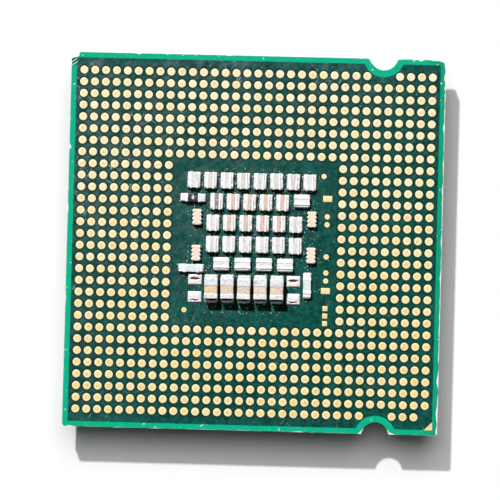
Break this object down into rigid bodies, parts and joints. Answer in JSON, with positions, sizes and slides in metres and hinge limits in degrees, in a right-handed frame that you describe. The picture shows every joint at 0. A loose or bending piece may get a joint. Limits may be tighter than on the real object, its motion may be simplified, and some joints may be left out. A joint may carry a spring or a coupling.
{
  "type": "land grid processor package",
  "caption": "Square land-grid processor package: green board with gold contact lands, key notches, chip capacitors in the middle, and a stepped metal lid beneath.",
  "frame": {"origin": "centre of the lid's outer face, which the package rests on", "axes": "+Z from the lid to the contact lands; +X along the long rows of lands, with the pin-one triangle in the +X, -Y corner; the key notches are in the +Y and -Y edges"},
  "size_m": [0.0376, 0.0376, 0.0057],
  "materials": {
    "laminate_core": "glass-epoxy laminate, woven, with a milled edge",
    "build_up_film": "smooth epoxy film",
    "copper_plane": "dull copper foil",
    "green_solder_mask": "satin green lacquer",
    "gold_lands": "satin gold plating with small contact marks",
    "gold_marks": "satin gold plating",
    "capacitor_ceramic": "fired ceramic, salmon to grey",
    "tan_ceramic": "fired tan ceramic",
    "white_alumina": "fired white alumina",
    "resistive_film": "black glaze",
    "tin_terminals": "dull tin plating",
    "solder": "bright reflowed solder",
    "silicon": "polished silicon",
    "underfill_epoxy": "dark cured epoxy",
    "thermal_interface": "dull soft metal",
    "nickel_plated_lid": "satin nickel plating",
    "lid_sealant": "black cured silicone"
  },
  "bodies": {
    "root": {"chip_array_body_blocks": "white_alumina", "chip_array_solder": "solder", "chip_array_terminals": "tin_terminals", "component_pads": "gold_marks", "core_laminate": "laminate_core", "die_bumps": "solder", "die_side_copper_plane": "copper_plane", "die_side_inner_film": "build_up_film", "die_side_outer_film": "build_up_film", "die_side_pin_one_triangle": "gold_marks", "die_side_solder_mask": "green_solder_mask", "empty_site_solder": "solder", "fiducial_dots": "gold_marks", "index_squares": "gold_marks", "land_side_copper_plane": "copper_plane", "land_side_inner_film": "build_up_film", "land_side_outer_film": "build_up_film", "land_side_pin_one_triangle": "gold_marks", "land_side_solder_mask": "green_solder_mask", "lands_bottom_block": "gold_lands", "lands_left_block": "gold_lands", "lands_right_block": "gold_lands", "lands_top_block": "gold_lands", "lid": "nickel_plated_lid", "lid_sealant": "lid_sealant", "lying_resistor_bodies": "white_alumina", "lying_resistor_solder": "solder", "lying_resistor_terminals": "tin_terminals", "oblong_test_pads": "gold_marks", "resistor_films": "resistive_film", "round_test_pads": "gold_marks", "row_1_capacitor_ceramics": "capacitor_ceramic", "row_1_capacitor_solder": "solder", "row_1_capacitor_terminals": "tin_terminals", "row_2_capacitor_ceramics": "capacitor_ceramic", "row_2_capacitor_solder": "solder", "row_2_capacitor_terminals": "tin_terminals", "row_3_capacitor_ceramics": "capacitor_ceramic", "row_3_capacitor_solder": "solder", "row_3_capacitor_terminals": "tin_terminals", "row_4_capacitor_ceramics": "capacitor_ceramic", "row_4_capacitor_solder": "solder", "row_4_capacitor_terminals": "tin_terminals", "silicon_die": "silicon", "tall_capacitor_ceramics": "tan_ceramic", "tall_capacitor_solder": "solder", "tall_capacitor_terminals": "tin_terminals", "thermal_interface": "thermal_interface", "turned_capacitor_ceramics": "capacitor_ceramic", "turned_capacitor_solder": "solder", "turned_capacitor_terminals": "tin_terminals", "underfill": "underfill_epoxy", "upright_resistor_bodies": "white_alumina", "upright_resistor_solder": "solder", "upright_resistor_terminals": "tin_terminals"}
  },
  "joints": []
}
